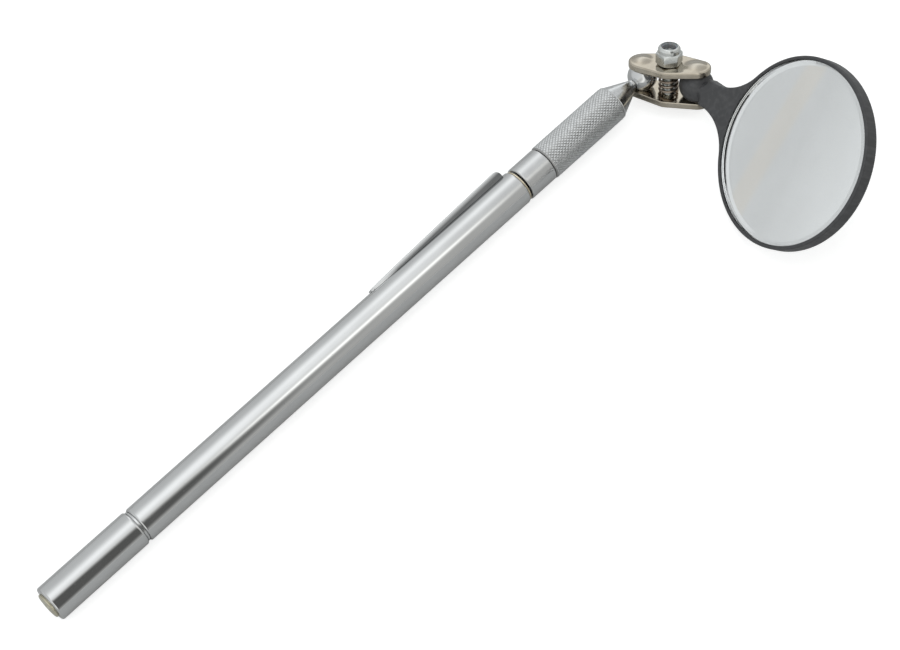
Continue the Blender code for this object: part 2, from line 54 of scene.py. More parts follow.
# ------------ sizes, as in the CAD parts or a hair inside them
TUBE_R = 5.5
TUBE_BORE = 4.9
CAP_R = 5.53
CAP_START = 0.8
CAP_END = 32.1
CAP_WALL = 1.4
TUBE_START = 32.9
TUBE_END = 181.2
TUBE_EDGE = 0.56
PLUG_R = 3.95
PLUG_HOLE_R = 3.35
JOINER_REACH = (18.7, 40.7)
JOINER_BORE = 3.4
BUSH_START = 172.7
FLANGE_R = 5.15
FIT = 0.06
SECTIONS = ((4.5, 0.3, 42.7, 181.9), (3.8, 0.3, 44.7, 182.0), (3.1, 0.3, 46.7, 182.1))
ROD_R = 2.4
ROD_BORE = 1.5
ROD_START = 48.7
ROD_END = 212.5
BEAD = 0.5
BEAD_GAP = 0.1
MOUTH_R = 0.45

COLLAR_START = 182.3
COLLAR_R = 5.45
SPIGOT_R = 4.56
GRIP_START = 192.2
GRIP_END = 221.2
GRIP_R = 5.7
CONE_END = 229.5
CONE_TIP_R = 1.86
STUD_R = 1.75
KNURLS = 31  # diamonds round the grip
KNURL_PITCH = 1.3  # length of a diamond along the grip
KNURL_DEPTH = 0.17
KNURL_STEPS = 6  # mesh steps across a diamond

BALL_R = 4.5  # rod ball
FAR_BALL_R = 5.2  # holder ball
BALL_GAP = 0.1
NECK_GAP = 0.05
NEAR_BALL = 234.4
BALL_PITCH = 16.8
STUD_X = 8.2
PLATE_GAP = 7.1  # at the rod ball
SPLAY = 0.042  # rise of each plate's faces towards the larger ball
PLATE = 2.0
LOBE_R = 4.2
WAIST_HALF = 6.3
WAIST_R = 4.0
DIMPLE_R = 6.32  # over the rod ball
FAR_DIMPLE_R = 7.07
STUD_BODY_R = 2.0
STUD_TOP = 10.2
THREAD_PITCH = 0.7
NUT_FLATS = 7.0
NUT_HEX = 3.7
NUT_HEIGHT = 5.6
NUT_COLLAR_R = 3.35
NUT_MOUTH_R = 2.5
NUT_TURN = 26.0  # angle of the hexagon round the stud
INSERT_R = 2.95
SPRING_R = 2.65
SPRING_WIRE = 0.4
SPRING_TURNS = 4.75

HOLDER_R = 27.78
HOLDER_DEPTH = 4.3
ARM = 46.8
ARM_HALF = 4.1
ARM_WAIST = 7.9
ARM_START = 5.5
NECK_R = 2.8
LIP = 1.1
POCKET_FLOOR = -0.95
HOLDER_EDGE = 0.6
GLASS_R = 26.55
GLASS_FRONT = 1.85
GLASS = 2.0
COATING = 0.12
BEVEL = (1.15, 0.3)

CLIP_START = 126.4
CLIP_END = 179.2
CLIP_SHEET = 0.5
CLIP_HEIGHTS = (6.05, 7.75)
CLIP_NOSE = 1.6
CLIP_HALF = (1.9, 2.3)
CLIP_FLARE = 10.0
CLIP_TIP = 1.2  # length of the rounding of its free end
CLIP_SOLID = 14.0
TAB_X = (177.3, 178.3)
TAB_HALF = 1.3

# ------------ camera
AIM = (-100.8, -20.56, 2.93)  # from the rod ball's centre
DISTANCE = 660.6
AZIMUTH = -34.19
ELEVATION = 57.77
ROLL = -12.1
LENS = 94.0


# ------------ frames of the parts
def axes(origin, x, z):
    """A frame at origin with these X and Z directions."""
    x = Vector(x).normalized()
    y = Vector(z).cross(x).normalized()
    turn = Matrix((x, y, x.cross(y))).transposed()
    return Matrix.Translation(origin) @ turn.to_4x4()


def part_frames():
    joints = {joint["name"]: joint for joint in frame["joints"]}
    mounts = {mount["name"]: mount for mount in frame["record"]["mounts"]}
    along = Vector(joints["extend_1"]["axis"])
    butt = mounts["butt_face"]["pos_m"]
    near = Vector(joints["clamp_tilt"]["pos_m"])
    far = Vector(joints["arm_swing"]["pos_m"])
    normal = joints["clamp_swing"]["axis"]
    return {
        "handle": axes(butt, along, along.cross(Vector((0, 1, 0)))),
        "clip": axes(butt, along, along.cross(Vector(joints["clip_spring"]["axis"]))),
        "grip": axes(butt, along, along.cross(Vector(joints["clamp_tilt"]["axis"]))),
        "near_ball": axes(near, along, normal),
        "clamp": axes(near, far - near, normal),
        "nut": axes(joints["nut_turn"]["pos_m"], far - near, normal) @ Matrix.Rotation(
            radians(NUT_TURN), 4, "Z"),
        "arm": axes(far, joints["arm_roll"]["axis"], mounts["mirror_front"]["axis"]),
    }


FRAMES = part_frames()


# ------------ shape helpers
def between(start, end, steps):
    return [start + (end - start) * k / steps for k in range(steps + 1)]


def ease(share):
    share = min(1.0, max(0.0, share))
    return share * share * (3 - 2 * share)


def arc(centre, radius, start, end, steps):
    """Points (along, across) of an arc; angles run from the first coordinate to the second."""
    points = []
    for angle in between(radians(start), radians(end), steps):
        points.append((centre[0] + radius * cos(angle), centre[1] + radius * sin(angle)))
    return points


def fillet(before, corner, after, radius):
    """The arc that rounds a corner, with a guard point on each side that keeps the shading of flats."""
    guard = 0.05
    into = Vector(before) - Vector(corner)
    out = Vector(after) - Vector(corner)
    angle = into.angle(out)
    reach = radius / tan(angle / 2)
    u = into.normalized()
    v = out.normalized()
    centre = Vector(corner) + (u + v).normalized() * radius / sin(angle / 2)
    first = Vector(corner) + u * reach - centre
    last = Vector(corner) + v * reach - centre
    steps = max(2, ceil((pi - angle) / radians(13)))
    swing = first.angle_signed(last)
    points = []
    if into.length > reach + 2 * guard:
        points.append(Vector(corner) + u * (reach + guard))
    for share in between(0, 1, steps):
        points.append(centre + Matrix.Rotation(-swing * share, 2) @ first)
    if out.length > reach + 2 * guard:
        points.append(Vector(corner) + v * (reach + guard))
    return [tuple(point) for point in points]


def rounded(corners, loop=True):
    """Outline from corners of (along, radius) or (along, radius, rounding)."""
    points = []
    count = len(corners)
    for k, corner in enumerate(corners):
        inner = loop or 0 < k < count - 1
        if len(corner) == 3 and inner:
            before = corners[k - 1][:2]
            after = corners[(k + 1) % count][:2]
            points += fillet(before, corner[:2], after, corner[2])
        else:
            points.append(corner[:2])
    return points


def skin(rings, loop=False, caps=(True, True)):
    """Join rings of points into a surface. A ring of one point is a pole."""
    vertices = [point for row in rings for point in row]
    starts = [0]
    for row in rings:
        starts.append(starts[-1] + len(row))
    pairs = list(zip(range(len(rings)), range(1, len(rings))))
    if loop:
        pairs.append((len(rings) - 1, 0))
    faces = []
    for i, j in pairs:
        here, there = len(rings[i]), len(rings[j])
        for k in range(max(here, there)):
            corners = (starts[i] + k % here, starts[i] + (k + 1) % here,
                       starts[j] + (k + 1) % there, starts[j] + k % there)
            faces.append(tuple(dict.fromkeys(corners)))
    for end, wanted in ((0, caps[0]), (len(rings) - 1, caps[1])):
        if wanted and not loop and len(rings[end]) > 1:
            faces.append(tuple(range(starts[end], starts[end] + len(rings[end]))))
    return vertices, faces


def ring(along, radii, axis="X", centre=(0, 0)):
    """Points round an axis, one for each radius."""
    points = []
    for k, radius in enumerate(radii):
        angle = 2 * pi * k / len(radii)
        across = centre[0] + radius * cos(angle)
        up = centre[1] + radius * sin(angle)
        points.append((along, across, up) if axis == "X" else (across, up, along))
    return points


def lathe(outline, axis="X", count=128, centre=(0, 0)):
    """Turn an outline of (along, radius) round an axis. It is a closed loop unless it starts on the axis."""
    rings = [ring(along, [radius] * (count if radius > 0 else 1), axis, centre) for along, radius in outline]
    return skin(rings, loop=outline[0][1] > 0)


def in_scene(name, data):
    made = bpy.data.objects.new(name, data)
    bpy.context.scene.collection.objects.link(made)
    return made


def mesh_object(name, vertices, faces, merge=False):
    """A closed mesh with its faces pointing out."""
    mesh = bpy.data.meshes.new(name)
    mesh.from_pydata([Vector(v) * MM for v in vertices], [], faces)
    body = bmesh.new()
    body.from_mesh(mesh)
    if merge:
        bmesh.ops.remove_doubles(body, verts=body.verts, dist=1e-3 * MM)
        bmesh.ops.dissolve_degenerate(body, edges=body.edges, dist=1e-4 * MM)
    bmesh.ops.recalc_face_normals(body, faces=body.faces)
    if body.calc_volume(signed=True) < 0:
        bmesh.ops.reverse_faces(body, faces=body.faces)
    body.to_mesh(mesh)
    body.free()
    return in_scene(name, mesh)


def block(name, stations, half, low, high):
    """A rectangular bar between two stations along X, centred across."""
    return mesh_object(name, *skin([[(x, -half, low), (x, half, low), (x, half, high), (x, -half, high)]
                                    for x in stations]))


def apply_modifiers(piece):
    graph = bpy.context.evaluated_depsgraph_get()
    result = bpy.data.meshes.new_from_object(piece.evaluated_get(graph))
    piece.modifiers.clear()
    piece.data = result


def combine(piece, tool, operation):
    """Join or cut a piece by a tool, which is used up."""
    step = piece.modifiers.new("combine", "BOOLEAN")
    step.operation = operation
    step.solver = "EXACT"
    step.object = tool
    apply_modifiers(piece)
    bpy.data.objects.remove(tool, do_unlink=True)


def finish_piece(piece, place, body, node, slot, crease=32, paint=None):
    """Shade a piece, move it into its part's frame and let it stand for its CAD node."""
    mesh = piece.data
    mesh.shade_smooth()
    mesh.set_sharp_from_angle(angle=radians(crease))
    mesh.materials.clear()
    mesh.materials.append(paint or PAINTS[slot])
    places = mesh.attributes.new(LOCAL, "FLOAT_VECTOR", "POINT")
    for vertex, entry in zip(mesh.vertices, places.data):
        entry.vector = vertex.co
    mesh.transform(FRAMES[place])
    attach(piece, body)
    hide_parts(node)


# ------------ node helpers
class Nodes:
    """Builds the nodes of a material or of the world."""

    def __init__(self, tree):
        self.tree = tree

    def node(self, kind, feeds=None, **settings):
        """A new node; feeds maps its inputs to values, or to the outputs that drive them."""
        made = self.tree.nodes.new(kind)
        for key, value in settings.items():
            setattr(made, key, value)
        for socket, source in (feeds or {}).items():
            self.feed(made.inputs[socket], source)
        return made

    def feed(self, socket, source):
        if isinstance(source, bpy.types.NodeSocket):
            self.tree.links.new(source, socket)
        else:
            socket.default_value = source

    def math(self, operation, first, second=0.0):
        return self.node("ShaderNodeMath", {0: first, 1: second}, operation=operation).outputs[0]

    def plus(self, first, second):
        return self.math("ADD", first, second)

    def times(self, first, second):
        return self.math("MULTIPLY", first, second)

    def split(self, vector):
        return self.node("ShaderNodeSeparateXYZ", {0: vector}).outputs

    def stretched(self, vector, scale):
        return self.node("ShaderNodeMapping", {"Vector": vector, "Scale": scale}).outputs[0]

    def span(self, source, low, high, to_low=0.0, to_high=1.0, smooth=False):
        """Map low..high of a value to to_low..to_high, held at its ends."""
        feeds = dict(enumerate((source, low, high, to_low, to_high)))
        kind = "SMOOTHSTEP" if smooth else "LINEAR"
        return self.node("ShaderNodeMapRange", feeds, interpolation_type=kind).outputs[0]

    def noise(self, vector, scale, detail=2.0, roughness=0.5):
        feeds = {"Vector": vector, "Scale": scale, "Detail": detail, "Roughness": roughness}
        return self.node("ShaderNodeTexNoise", feeds).outputs["Fac"]

    def lines(self, value, scale, detail=2.0):
        """Noise along one coordinate."""
        feeds = {"W": value, "Scale": scale, "Detail": detail}
        return self.node("ShaderNodeTexNoise", feeds, noise_dimensions="1D").outputs["Fac"]

    def ramp(self, source, stops):
        """Colours or greys along a value; each stop is (position, colour)."""
        made = self.node("ShaderNodeValToRGB", {0: source})
        elements = made.color_ramp.elements
        while len(elements) < len(stops):
            elements.new(0.5)
        for element, (position, colour) in zip(elements, stops):
            element.position = position
            tone = colour if isinstance(colour, tuple) else (colour,) * 3
            element.color = (*tone, 1.0)
        return made.outputs["Color"]

    def blend(self, share, first, second):
        feeds = {"Factor": share}
        for socket, colour in ((6, first), (7, second)):
            feeds[socket] = (*colour, 1.0) if isinstance(colour, tuple) else colour
        return self.node("ShaderNodeMix", feeds, data_type="RGBA").outputs[2]

    def radius(self, vector, axis):
        """Distance from the axis of a turned piece."""
        parts = self.split(vector)
        across = [part for i, part in enumerate(parts) if "XYZ"[i] != axis]
        squares = [self.times(part, part) for part in across]
        return self.math("SQRT", self.plus(*squares))


class Paint(Nodes):
    """A material: a Principled shader with procedural colour, roughness and relief.

    It follows the LOCAL attribute, or object coordinates on meshes that come from elsewhere.
    """

    def __init__(self, name, own_mesh=True, **sockets):
        self.material = bpy.data.materials.new(name)
        self.material.use_nodes = True
        super().__init__(self.material.node_tree)
        self.shader = self.tree.nodes["Principled BSDF"]
        if own_mesh:
            self.place = self.node("ShaderNodeAttribute", attribute_name=LOCAL).outputs["Vector"]
        else:
            self.place = self.node("ShaderNodeTexCoord").outputs["Object"]
        self.relief = None
        for key, value in sockets.items():
            self.shader.inputs[key.replace("_", " ").title().replace("Ior", "IOR")].default_value = value

    def colour(self, source):
        self.feed(self.shader.inputs["Base Color"], source)

    def roughness(self, source):
        self.feed(self.shader.inputs["Roughness"], source)

    def finish(self, source, stops, low, high):
        """Colour and roughness that follow one noise together."""
        self.colour(self.ramp(source, stops))
        self.roughness(self.span(source, 0.3, 0.7, low, high))

    def bump(self, height, depth):
        """Relief of a depth in millimetres, laid over any relief before it."""
        feeds = {"Strength": 1.0, "Distance": depth * MM, "Height": height}
        if self.relief:
            feeds["Normal"] = self.relief
        self.relief = self.node("ShaderNodeBump", feeds).outputs[0]
        self.feed(self.shader.inputs["Normal"], self.relief)


# ------------ materials
CHROME_TONE = (0.615, 0.62, 0.622)


def scaled(colour, factor):
    return tuple(channel * factor for channel in colour)


def bright_chrome():
    """Polished plate: faint smudges, hairlines along the piece and a few fine pits."""
    paint = Paint("chrome", metallic=1.0)
    smudge = paint.noise(paint.place, 90, detail=4)
    hair = paint.noise(paint.stretched(paint.place, (0.04, 1.0, 1.0)), 2600, detail=2)
    scratch = paint.span(hair, 0.66, 0.72)
    cloud = paint.span(smudge, 0.35, 0.7)
    paint.colour(paint.blend(cloud, scaled(CHROME_TONE, 0.97), scaled(CHROME_TONE, 1.02)))
    veil = paint.span(smudge, 0.4, 0.75, 0.045, 0.1)
    paint.roughness(paint.plus(veil, paint.times(scratch, 0.07)))
    paint.bump(hair, 0.0006)
    pits = paint.noise(paint.place, 1500, detail=1)
    paint.bump(paint.span(pits, 0.74, 0.8), 0.004)
    return paint.material


def clip_chrome():
    """Polished plate like the handle's; the clip's side walls carry painted shade for the shaded gap under the
    clip, darker and rougher towards their roots.
    """
    paint = Paint("clip_chrome", metallic=1.0)
    along, side, height = paint.split(paint.place)
    low, high = scaled(CLIP_HEIGHTS, MM)
    below = paint.math("SUBTRACT", paint.span(along, CLIP_START * MM, CLIP_END * MM, low, high), height)
    half = CLIP_HALF[0]
    # painted shade: the side walls get a dark colour where they stand in the shade of the gap under the clip; they
    # are also made rougher
    wall = paint.span(paint.math("ABSOLUTE", side), (half - 0.3) * MM, (half - 0.2) * MM)
    wall = paint.times(wall, paint.span(below, 0.15 * MM, 1.2 * MM))  # duller away from the top
    wall = paint.times(wall, paint.span(height, 4.3 * MM, 4.6 * MM))  # the tab stays bright
    start = CLIP_START + 0.08 * (CLIP_END - CLIP_START)
    wall = paint.times(wall, paint.span(along, start * MM, (start + 6) * MM))  # and so does the free end
    draw = paint.noise(paint.stretched(paint.place, (0.05, 1.0, 1.0)), 2200, detail=3)
    smudge = paint.noise(paint.place, 90, detail=4)
    plate = paint.blend(smudge, scaled(CHROME_TONE, 0.96), scaled(CHROME_TONE, 1.03))
    # painted shade: the dark tone laid on the side walls
    dull = paint.ramp(draw, ((0.3, (0.13, 0.133, 0.135)), (0.7, (0.175, 0.178, 0.18))))
    paint.colour(paint.blend(wall, plate, dull))
    polish = paint.span(smudge, 0.4, 0.75, 0.05, 0.1)
    paint.roughness(paint.plus(polish, paint.times(wall, 0.22)))
    paint.bump(draw, 0.0012)
    return paint.material


def turned_metal(name, dark, light, rough, depth=0.0025):
    """Satin plate over lathe marks that run round the piece's axis."""
    paint = Paint(name, metallic=1.0)
    along = paint.split(paint.place)[0]
    reach = paint.radius(paint.place, "X")
    ring = paint.lines(paint.plus(along, reach), 6000, detail=3)
    broad = paint.lines(along, 900, detail=2)
    cloud = paint.noise(paint.place, 260, detail=4)
    mix = paint.plus(paint.times(ring, 0.5), paint.times(cloud, 0.5))
    paint.colour(paint.ramp(mix, ((0.34, dark), (0.62, light))))
    paint.roughness(paint.span(paint.plus(cloud, paint.times(ring, 0.4)),
                               0.5, 0.95, rough[0], rough[1]))
    paint.bump(ring, depth)
    paint.bump(broad, depth * 0.8)
    return paint.material


def knurled_chrome():
    """Plate over the knurl: plain plate on the crests, duller flanks and painted shade down in the grooves."""
    paint = Paint("knurled_chrome", metallic=1.0)
    reach = paint.radius(paint.place, "X")
    along = paint.split(paint.place)[0]
    depth = paint.span(reach, (GRIP_R - KNURL_DEPTH) * MM, (GRIP_R - 0.04) * MM)
    on_cone = paint.span(along, (GRIP_END - 0.3) * MM, (GRIP_END + 0.1) * MM)
    height = paint.math("MAXIMUM", depth, on_cone)
    grain = paint.noise(paint.place, 900, detail=4)
    # painted shade: the plate colour darkens down into the knurl's grooves
    grime = paint.span(paint.plus(height, paint.times(grain, 0.4)), 0.22, 0.62)
    plate = paint.ramp(grain, ((0.35, (0.60, 0.61, 0.615)), (0.65, (0.70, 0.71, 0.715))))
    paint.colour(paint.blend(grime, (0.40, 0.40, 0.395), plate))
    ring = paint.lines(paint.plus(along, reach), 5000, detail=3)
    flank = paint.span(height, 0.0, 1.0, 0.42, 0.2)
    paint.roughness(paint.plus(flank, paint.span(grain, 0.3, 0.7, -0.03, 0.06)))
    paint.bump(ring, 0.003)
    paint.bump(grain, 0.004)
    return paint.material


def plate_nickel():
    """Warm nickel over pressed sheet: cloudy, lightly pickled, with a painted highlight, a lighter colour, where
    the domes stand proud.
    """
    paint = Paint("plate_nickel", metallic=1.0)
    cloud = paint.noise(paint.place, 320, detail=5, roughness=0.6)
    grain = paint.noise(paint.place, 2600, detail=3)
    brushed = paint.noise(paint.stretched(paint.place, (0.12, 1.0, 1.0)), 1800, detail=2)
    along, _, up = paint.split(paint.place)
    height = paint.math("SUBTRACT", paint.math("ABSOLUTE", up), paint.times(along, SPLAY))
    # painted highlight: the tops of the domes are coloured lighter; they are also made a little smoother
    rubbed = paint.span(height, (PLATE_GAP / 2 + PLATE + 0.35) * MM, (FAR_DIMPLE_R - 0.1) * MM)
    tone = paint.ramp(cloud, ((0.3, (0.44, 0.395, 0.322)), (0.52, (0.485, 0.437, 0.362)),
                              (0.72, (0.53, 0.484, 0.408))))
    paint.colour(paint.blend(paint.times(rubbed, 0.55), tone, (0.66, 0.645, 0.60)))
    base = paint.span(cloud, 0.3, 0.7, 0.13, 0.2)
    paint.roughness(paint.plus(base, paint.times(rubbed, -0.04)))
    paint.bump(grain, 0.0012)
    paint.bump(brushed, 0.001)
    paint.bump(cloud, 0.0025)
    return paint.material


def zinc_plate():
    """Bluish zinc with a fine crystalline bloom."""
    paint = Paint("zinc", metallic=1.0)
    bloom = paint.noise(paint.place, 700, detail=5, roughness=0.65)
    grain = paint.noise(paint.place, 4200, detail=2)
    paint.finish(bloom, ((0.3, (0.56, 0.575, 0.565)), (0.5, (0.65, 0.665, 0.65)),
                         (0.72, (0.74, 0.75, 0.73))), 0.16, 0.3)
    paint.bump(grain, 0.002)
    paint.bump(bloom, 0.003)
    return paint.material


def spring_wire():
    """Drawn wire with a brown temper film."""
    paint = Paint("spring_steel", metallic=1.0)
    film = paint.noise(paint.place, 450, detail=4)
    draw = paint.noise(paint.stretched(paint.place, (1.0, 1.0, 7.0)), 1500, detail=2)
    paint.finish(film, ((0.3, (0.25, 0.20, 0.165)), (0.5, (0.36, 0.30, 0.25)), (0.7, (0.46, 0.40, 0.34))),
                 0.22, 0.38)
    paint.bump(draw, 0.004)
    return paint.material


def rolled_bronze():
    """Phosphor bronze strip with grease in its grain."""
    paint = Paint("spring_bronze", own_mesh=False, metallic=1.0)
    stain = paint.noise(paint.place, 380, detail=4)
    grain = paint.noise(paint.stretched(paint.place, (0.1, 1.0, 1.0)), 2400, detail=2)
    paint.finish(stain, ((0.3, (0.40, 0.29, 0.20)), (0.7, (0.60, 0.46, 0.34))), 0.24, 0.44)
    paint.bump(grain, 0.004)
    return paint.material


def nylon():
    """Grey nylon, scuffed by the thread."""
    paint = Paint("nylon", subsurface_weight=0.25, subsurface_scale=0.0008)
    cloud = paint.noise(paint.place, 500, detail=4)
    paint.finish(cloud, ((0.3, (0.24, 0.25, 0.265)), (0.7, (0.31, 0.32, 0.335))), 0.4, 0.6)
    paint.bump(paint.noise(paint.place, 3000, detail=2), 0.006)
    return paint.material


def black_plastic():
    """Moulded plastic: fine spark texture, faint flow clouds, rubbed lighter round the rim."""
    paint = Paint("black_plastic", specular_ior_level=0.45)
    spark = paint.noise(paint.place, 3600, detail=3, roughness=0.6)
    flow = paint.noise(paint.place, 120, detail=4)
    scuff = paint.noise(paint.stretched(paint.place, (1.0, 1.0, 0.2)), 700, detail=3)
    shifted = paint.node("ShaderNodeVectorMath", {0: paint.place, 1: (ARM * MM, 0, 0)}, operation="SUBTRACT")
    reach = paint.radius(shifted.outputs[0], "Z")
    rim = paint.span(reach, (HOLDER_R - 0.9) * MM, (HOLDER_R - 0.15) * MM)
    worn = paint.times(rim, paint.span(scuff, 0.45, 0.65))
    body = paint.ramp(flow, ((0.3, (0.049, 0.050, 0.053)), (0.7, (0.057, 0.058, 0.061))))
    paint.colour(paint.blend(paint.times(worn, 0.4), body, (0.10, 0.10, 0.104)))
    paint.roughness(paint.plus(paint.span(spark, 0.3, 0.7, 0.36, 0.5),
                               paint.times(worn, -0.05)))
    paint.bump(spark, 0.006)
    return paint.material


def clear_glass():
    """Float glass with a few faint wipe marks."""
    paint = Paint("mirror_glass", transmission_weight=1.0, ior=1.5)
    wipe = paint.noise(paint.stretched(paint.place, (1.0, 0.25, 1.0)), 160, detail=4)
    paint.colour(paint.ramp(wipe, ((0.4, (0.975, 0.982, 0.982)), (0.7, (0.99, 0.997, 0.997)))))
    paint.roughness(paint.span(wipe, 0.58, 0.75, 0.0, 0.012))
    return paint.material


def silvering():
    """Silver behind the glass, with a slight unevenness."""
    paint = Paint("silvering", metallic=1.0)
    cloud = paint.noise(paint.place, 60, detail=3)
    paint.finish(cloud, ((0.3, (0.865, 0.868, 0.872)), (0.7, (0.885, 0.888, 0.892))), 0.004, 0.012)
    return paint.material


def foam_tape():
    paint = Paint("foam_tape", own_mesh=False)
    cells = paint.noise(paint.place, 1800, detail=3)
    paint.finish(cells, ((0.3, (0.62, 0.62, 0.59)), (0.7, (0.80, 0.80, 0.77))), 0.8, 0.95)
    paint.bump(cells, 0.03)
    return paint.material


def make_paints():
    return {
        "chrome": bright_chrome(),
        "satin_chrome": turned_metal("satin_chrome", (0.56, 0.565, 0.57), (0.615, 0.62, 0.62), (0.13, 0.2),
                                     depth=0.0012),
        "knurled_chrome": knurled_chrome(),
        "nickel": turned_metal("nickel", (0.55, 0.51, 0.38), (0.68, 0.64, 0.51), (0.12, 0.26)),
        "brass": turned_metal("brass", (0.60, 0.52, 0.38), (0.74, 0.67, 0.52), (0.18, 0.32)),
        "spring_bronze": rolled_bronze(),
        "plate_nickel": plate_nickel(),
        "zinc": zinc_plate(),
        "spring_steel": spring_wire(),
        "nylon": nylon(),
        "black_plastic": black_plastic(),
        "mirror_glass": clear_glass(),
        "silvering": silvering(),
        "foam_tape": foam_tape(),
    }


PAINTS = make_paints()


def turned_piece(node, outline, place, body, slot, **shape):
    """A lathe piece that stands for a CAD node."""
    piece = mesh_object(node + "_look", *lathe(outline, **shape))
    finish_piece(piece, place, body, node, slot)


# ------------ handle
def make_handle():
    edge = 0.15
    tube = [(TUBE_START, TUBE_BORE, edge), (TUBE_START, TUBE_R, TUBE_EDGE), (TUBE_END, TUBE_R, TUBE_EDGE),
            (TUBE_END, TUBE_BORE, 0.04)]
    body = mesh_object("handle_tube_look", *lathe(rounded(tube), count=160))
    turn = FRAMES["handle"].inverted() @ FRAMES["clip"]
    room = 0.3
    slot = block("slot", (TAB_X[0] - room, TAB_X[1] + room), TAB_HALF + room, TUBE_BORE - 1, TUBE_R + 1)
    slot.matrix_world = turn
    combine(body, slot, "DIFFERENCE")
    finish_piece(body, "handle", "handle", "handle_tube", "chrome")

    inside = CAP_START + CAP_WALL
    cap = [(CAP_START, PLUG_HOLE_R), (CAP_START, CAP_R, 0.7), (CAP_END, CAP_R, 0.64),
           (CAP_END, TUBE_BORE, 0.1), (inside, TUBE_BORE), (inside, PLUG_HOLE_R)]
    turned_piece("end_cap", rounded(cap), "handle", "handle", "chrome", count=160)

    shank = PLUG_HOLE_R - FIT
    under = CAP_START - FIT
    behind = inside + FIT
    plug = [(0.3, 0), (0.3, 0.75, 0.2), (0.0, 1.05, 0.12), (0.0, 2.3, 0.1), (0.12, 2.5, 0.08),
            (0.0, 2.7, 0.1), (0.0, PLUG_R - 0.35, 0.3), (0.32, PLUG_R, 0.15), (under, PLUG_R - 0.1),
            (under, shank), (behind, shank), (behind, 4.2), (behind + 1.0, 4.2), (behind + 1.0, 0)]
    turned_piece("end_plug", rounded(plug, loop=False), "handle", "handle", "nickel", count=96)

    thread = TUBE_BORE - FIT
    start, end = JOINER_REACH
    left, right = CAP_END + 0.1, TUBE_START - 0.1
    collar = thread + 0.2
    joiner = [(start, JOINER_BORE, 0.1), (start, thread, 0.3), (left, thread), (left, collar, 0.1),
              (right, collar, 0.1), (right, thread), (end, thread, 0.3), (end, JOINER_BORE, 0.1)]
    turned_piece("cap_joiner", rounded(joiner), "handle", "handle", "chrome", count=128)

    bore = SECTIONS[0][0] + FIT
    seat = TUBE_END + 0.05
    face = seat + 0.5
    bush = [(BUSH_START, bore, 0.08), (BUSH_START, thread, 0.08), (seat, thread), (seat, FLANGE_R, 0.06),
            (face, FLANGE_R, 0.16), (face, bore, 0.1)]
    turned_piece("mouth_bush", rounded(bush), "handle", "handle", "brass", count=128)


def clip_height(station):
    """Height of the clip's outer face over the handle's axis: a long wedge with a rounded nose."""
    low, high = CLIP_HEIGHTS
    crown = CLIP_END - CLIP_NOSE
    along = (station - CLIP_START) / (crown - CLIP_START)
    if along <= 1:
        return low + (high - low) * along ** 0.8
    foot = low + 0.2
    past = (station - crown) / CLIP_NOSE
    return foot + (high - foot) * sqrt(max(0.0, 1 - past ** 2))


def clip_half_width(station):
    """Half the clip's width: its free end is rounded in plan, and it widens over its first part."""
    narrow, wide = CLIP_HALF
    width = narrow + (wide - narrow) * min(1.0, (station - CLIP_START) / CLIP_FLARE)
    share = min(1.0, (station - CLIP_START) / CLIP_TIP)
    return width * (0.55 + 0.45 * sqrt(max(0.0, 1 - (1 - share) ** 2)))


def clip_section(station, top, half, rise, corner):
    """A slice of the clip: its underside follows the tube and its top corners are rounded."""
    base = TUBE_R + rise
    spread = asin(half / base)
    points = [(station, base * sin(angle), base * cos(angle)) for angle in between(spread, -spread, 14)]
    for side, start in ((-1, 180), (1, 90)):
        for along, up in arc((side * (half - corner), top - corner), corner, start, start - 90, 6):
            points.append((station, along, up))
    return points


def make_clip():
    crown = CLIP_END - CLIP_NOSE
    nose = [crown + CLIP_NOSE * sin(angle) for angle in between(0, pi / 2, 10)[1:]]
    shoulder = CLIP_START + CLIP_TIP
    stations = between(CLIP_START, shoulder, 8) + between(shoulder, crown, 44)[1:] + nose
    slices = []
    for x in stations:
        corner = min(0.35, 0.45 * (clip_height(x) - TUBE_R - FIT))
        slices.append(clip_section(x, clip_height(x), clip_half_width(x), FIT, corner))
    clip = mesh_object("pocket_clip_look", *skin(slices))
    hollow = []
    for x in between(CLIP_START + CLIP_SOLID, crown - CLIP_NOSE, 24):
        top = clip_height(x) - CLIP_SHEET
        hollow.append(clip_section(x, top, clip_half_width(x) - CLIP_SHEET, -1.0, 0.15))
    combine(clip, mesh_object("hollow", *skin(hollow)), "DIFFERENCE")
    combine(clip, block("tab", TAB_X, TAB_HALF, TUBE_BORE + 0.1, TUBE_R + 0.6), "UNION")
    finish_piece(clip, "clip", "clip", "pocket_clip", "chrome", paint=clip_chrome())


# ------------ telescope
def make_telescope():
    bore = TUBE_BORE
    for i, (outer, wall, base, mouth) in enumerate(SECTIONS, 1):
        inner = outer - wall
        following = SECTIONS[i][0] if i < len(SECTIONS) else ROD_R
        lip = following + FIT
        bead = bore - BEAD_GAP
        outline = [(base, inner), (base, bead, 0.1), (base + BEAD, bead, 0.1), (base + BEAD, outer),
                   (mouth, outer, MOUTH_R), (mouth, lip, 0.08), (mouth - wall, lip),
                   (mouth - wall - 0.35, inner)]
        node = "telescope_section_%d" % i
        turned_piece(node, rounded(outline), "handle", "stage_%d" % i, "chrome")
        bore = inner
    bead = bore - BEAD_GAP
    rod = [(ROD_START, ROD_BORE), (ROD_START, bead, 0.08), (ROD_START + BEAD, bead, 0.08),
           (ROD_START + BEAD, ROD_R), (ROD_END, ROD_R, 0.2), (ROD_END, ROD_BORE)]
    turned_piece("telescope_rod", rounded(rod), "grip", "grip", "chrome", count=96)


# ------------ grip
def knurl_height(around, along):
    """Height of the knurl, 0 in its grooves and 1 on its crests; and which family of grooves is nearer."""
    crest = 0.82
    first = (around + along) % 1.0
    second = (around - along) % 1.0
    near_first = 2 * min(first, 1 - first)
    near_second = 2 * min(second, 1 - second)
    return min(near_first, near_second, crest) / crest, near_first < near_second


